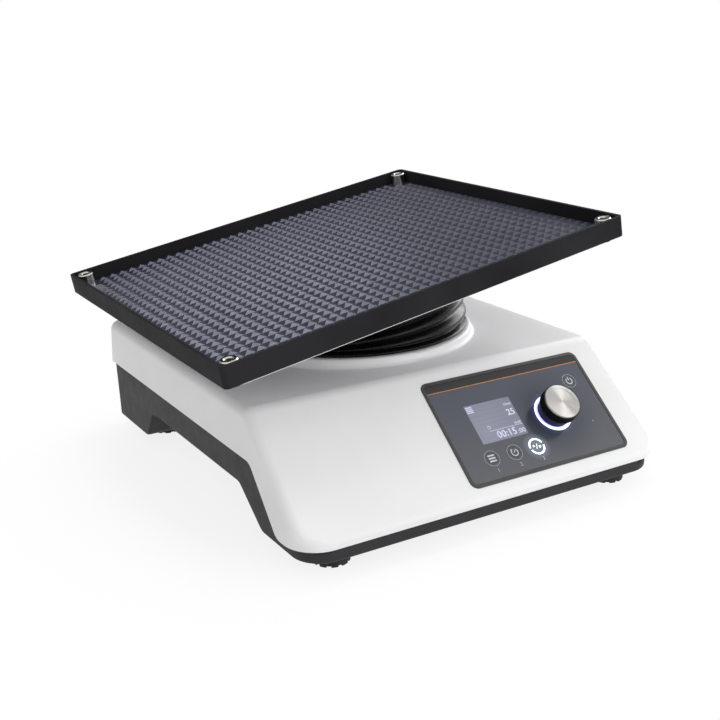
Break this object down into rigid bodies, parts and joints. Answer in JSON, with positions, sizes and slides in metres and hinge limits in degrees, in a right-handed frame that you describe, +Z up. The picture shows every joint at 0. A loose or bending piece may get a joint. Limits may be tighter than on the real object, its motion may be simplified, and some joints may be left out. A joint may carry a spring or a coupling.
{
  "type": "rocking shaker",
  "caption": "Bench rocking shaker: tilted tray with a rubber mat on a bellows, turned by a motor in a white housing with a sloping control panel and knob.",
  "frame": {"origin": "centre of the whole object's bounding box in X and Y, at the bottom of the feet", "axes": "+Z up, +X to the object's right as its user faces the panel, +Y to its back"},
  "size_m": [0.3494, 0.374, 0.2009],
  "materials": {
    "pan_grey": "fine texture",
    "shell_white": "satin",
    "foot_rubber": "matt",
    "zinc_steel": "zinc plated",
    "sheet_steel": "galvanised sheet",
    "cast_aluminium": "cast",
    "bearing_steel": "ground",
    "turned_steel": "turned",
    "machined_aluminium": "machined",
    "blued_steel": "black oxide",
    "belt_rubber": "matt",
    "motor_black": "satin paint",
    "plate_aluminium": "milled edge",
    "bellows_rubber": "satin",
    "ring_plastic": "moulded",
    "polished_steel": "polished",
    "tray_black": "fine powder coat",
    "mat_rubber": "matt",
    "frame_black": "satin",
    "panel_glass": "gloss, printed behind",
    "display_black": "gloss",
    "sensor_copper": "foil",
    "ring_clear": "clear, lit",
    "board_green": "solder mask",
    "spacer_brass": "turned",
    "encoder_grey": "pressed",
    "plunger_plastic": "moulded",
    "knob_black": "satin",
    "brushed_aluminium": "spun",
    "supply_aluminium": "folded sheet",
    "inlet_black": "moulded",
    "pin_brass": "plated",
    "rocker_black": "gloss",
    "fuse_glass": "clear, metal ends"
  },
  "bodies": {
    "base": {"base_pan": "pan_grey", "top_shell": "shell_white", "feet": "foot_rubber", "foot_screws": "zinc_steel", "shell_screws": "zinc_steel", "chassis_plate": "sheet_steel", "chassis_screws": "zinc_steel", "bearing_housing": "cast_aluminium", "housing_screws": "zinc_steel", "main_bearings": "bearing_steel", "drive_belt": "belt_rubber", "motor": "motor_black", "motor_bracket": "sheet_steel", "bracket_screws": "zinc_steel", "motor_screws": "zinc_steel", "bellows_clamp": "turned_steel", "panel_frame": "frame_black", "panel_glass": "panel_glass", "display": "display_black", "touch_sensors": "sensor_copper", "light_ring": "ring_clear", "control_board": "board_green", "board_spacers": "spacer_brass", "board_screws": "zinc_steel", "encoder": "encoder_grey", "power_supply": "supply_aluminium", "supply_screws": "zinc_steel", "power_inlet": "inlet_black", "inlet_pins": "pin_brass"},
    "rotor": {"rotor_shaft": "turned_steel", "drive_pulley": "machined_aluminium", "counterweight": "blued_steel", "counterweight_screws": "zinc_steel", "spindle_nut": "zinc_steel", "journal_ring": "turned_steel", "bellows": "bellows_rubber"},
    "platform": {"platform_hub": "machined_aluminium", "hub_bearings": "bearing_steel", "hub_rings": "turned_steel", "hub_screws": "zinc_steel", "support_plate": "plate_aluminium", "tray": "tray_black", "rubber_mat": "mat_rubber", "corner_posts": "polished_steel", "post_screws": "zinc_steel", "bellows_ring": "ring_plastic", "ring_screws": "zinc_steel", "bellows_band": "polished_steel"},
    "motor_rotor": {"motor_shaft": "turned_steel", "motor_pulley": "machined_aluminium"},
    "knob_push": {"encoder_plunger": "plunger_plastic"},
    "knob": {"encoder_shaft": "turned_steel", "knob_body": "knob_black", "knob_cap": "brushed_aluminium", "knob_screw": "blued_steel"},
    "rocker": {"rocker_switch": "rocker_black"},
    "fuse_holder": {"fuse_drawer": "inlet_black", "fuses": "fuse_glass"}
  },
  "joints": [
    {"name": "rotor_turn", "type": "hinge", "parent": "base", "child": "rotor", "pos_m": [0.0106, 0.029, 0.06], "axis": [0, 0, 1], "continuous": true},
    {"name": "platform_turn", "type": "hinge", "parent": "rotor", "child": "platform", "pos_m": [0.0106, 0.029, 0.102], "axis": [-0.1736, 0, 0.9848], "continuous": true},
    {"name": "motor_turn", "type": "hinge", "parent": "base", "child": "motor_rotor", "pos_m": [0.0106, 0.1235, 0.084], "axis": [0, 0, 1], "continuous": true},
    {"name": "knob_press", "type": "slide", "parent": "base", "child": "knob_push", "axis": [0, 0.6428, -0.766], "range_m": [0, 0.001], "stiffness_N_per_m": 700, "springref_m": -0.002},
    {"name": "knob_turn", "type": "hinge", "parent": "knob_push", "child": "knob", "pos_m": [0.0911, -0.15248, 0.06497], "axis": [0, -0.6428, 0.766], "continuous": true},
    {"name": "power_rocker", "type": "hinge", "parent": "base", "child": "rocker", "pos_m": [-0.0644, 0.1767, 0.036], "axis": [1, 0, 0], "range_deg": [-20, 0]},
    {"name": "fuse_pull", "type": "slide", "parent": "base", "child": "fuse_holder", "axis": [0, 1, 0], "range_m": [0, 0.02]}
  ],
  "couplings": [
    {"joint": "platform_turn", "follows": "rotor_turn", "ratio": -1},
    {"joint": "motor_turn", "follows": "rotor_turn", "ratio": 5}
  ]
}
